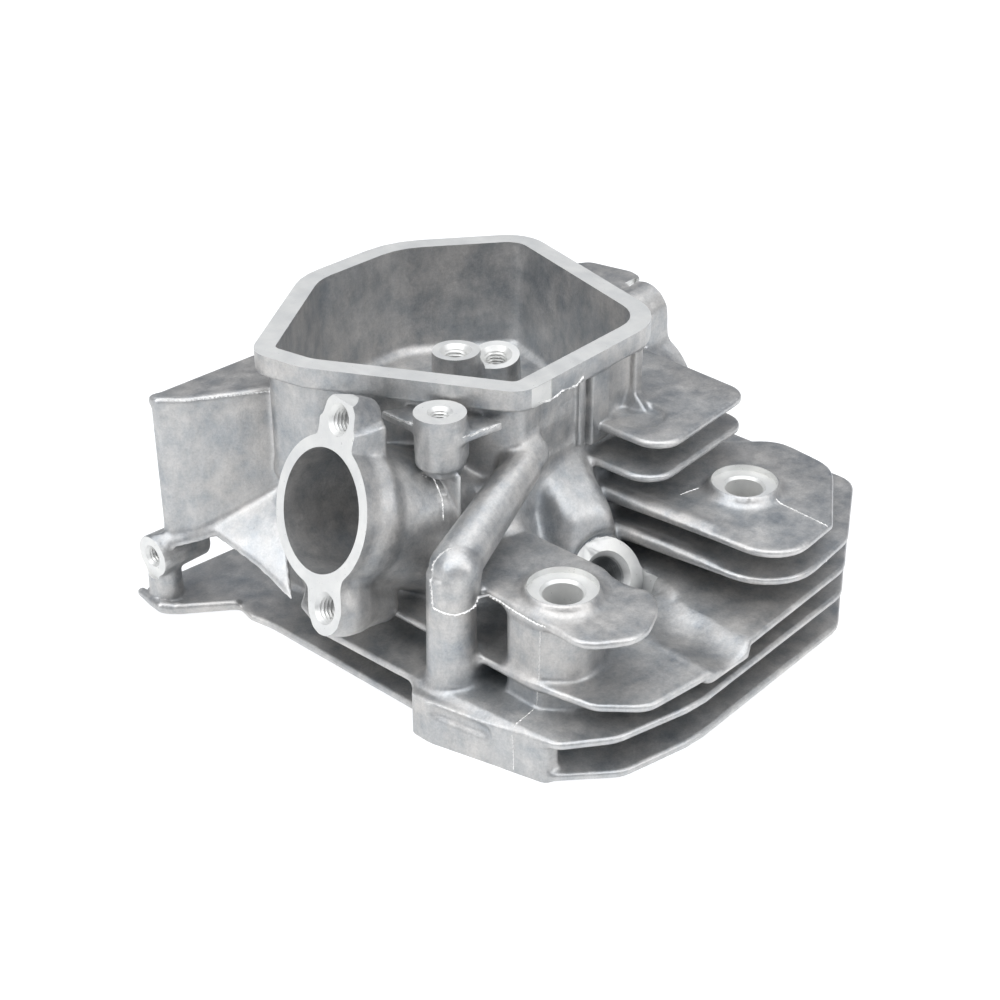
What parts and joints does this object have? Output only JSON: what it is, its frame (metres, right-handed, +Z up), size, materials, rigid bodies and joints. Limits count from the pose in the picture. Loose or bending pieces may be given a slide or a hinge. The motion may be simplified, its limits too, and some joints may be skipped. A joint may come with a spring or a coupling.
{
  "type": "cylinder head",
  "caption": "Air-cooled die-cast cylinder head with cooling fins, open rocker box, tilted two-stud intake flange, spark plug seat and pressed-in valve seats and guides.",
  "frame": {"origin": "middle of the head outline, on the plane of the gasket face; the cylinder axis is 0.4 mm towards -X and 13.1 mm towards -Y from it", "axes": "+Z up the cylinder axis to the rocker cover face, -X intake side, +X exhaust side, -Y spark plug side, +Y push rod side"},
  "size_m": [0.1752, 0.178, 0.09],
  "materials": {
    "cast_aluminium": "die-cast satin with bright machined faces",
    "sintered_steel": "ground",
    "guide_iron": "turned",
    "spring_steel": "blued wire"
  },
  "bodies": {
    "root": {"head_casting": "cast_aluminium", "intake_valve_seat": "sintered_steel", "exhaust_valve_seat": "sintered_steel", "intake_valve_guide": "guide_iron", "exhaust_valve_guide": "guide_iron", "valve_guide_clip": "spring_steel"}
  },
  "joints": []
}
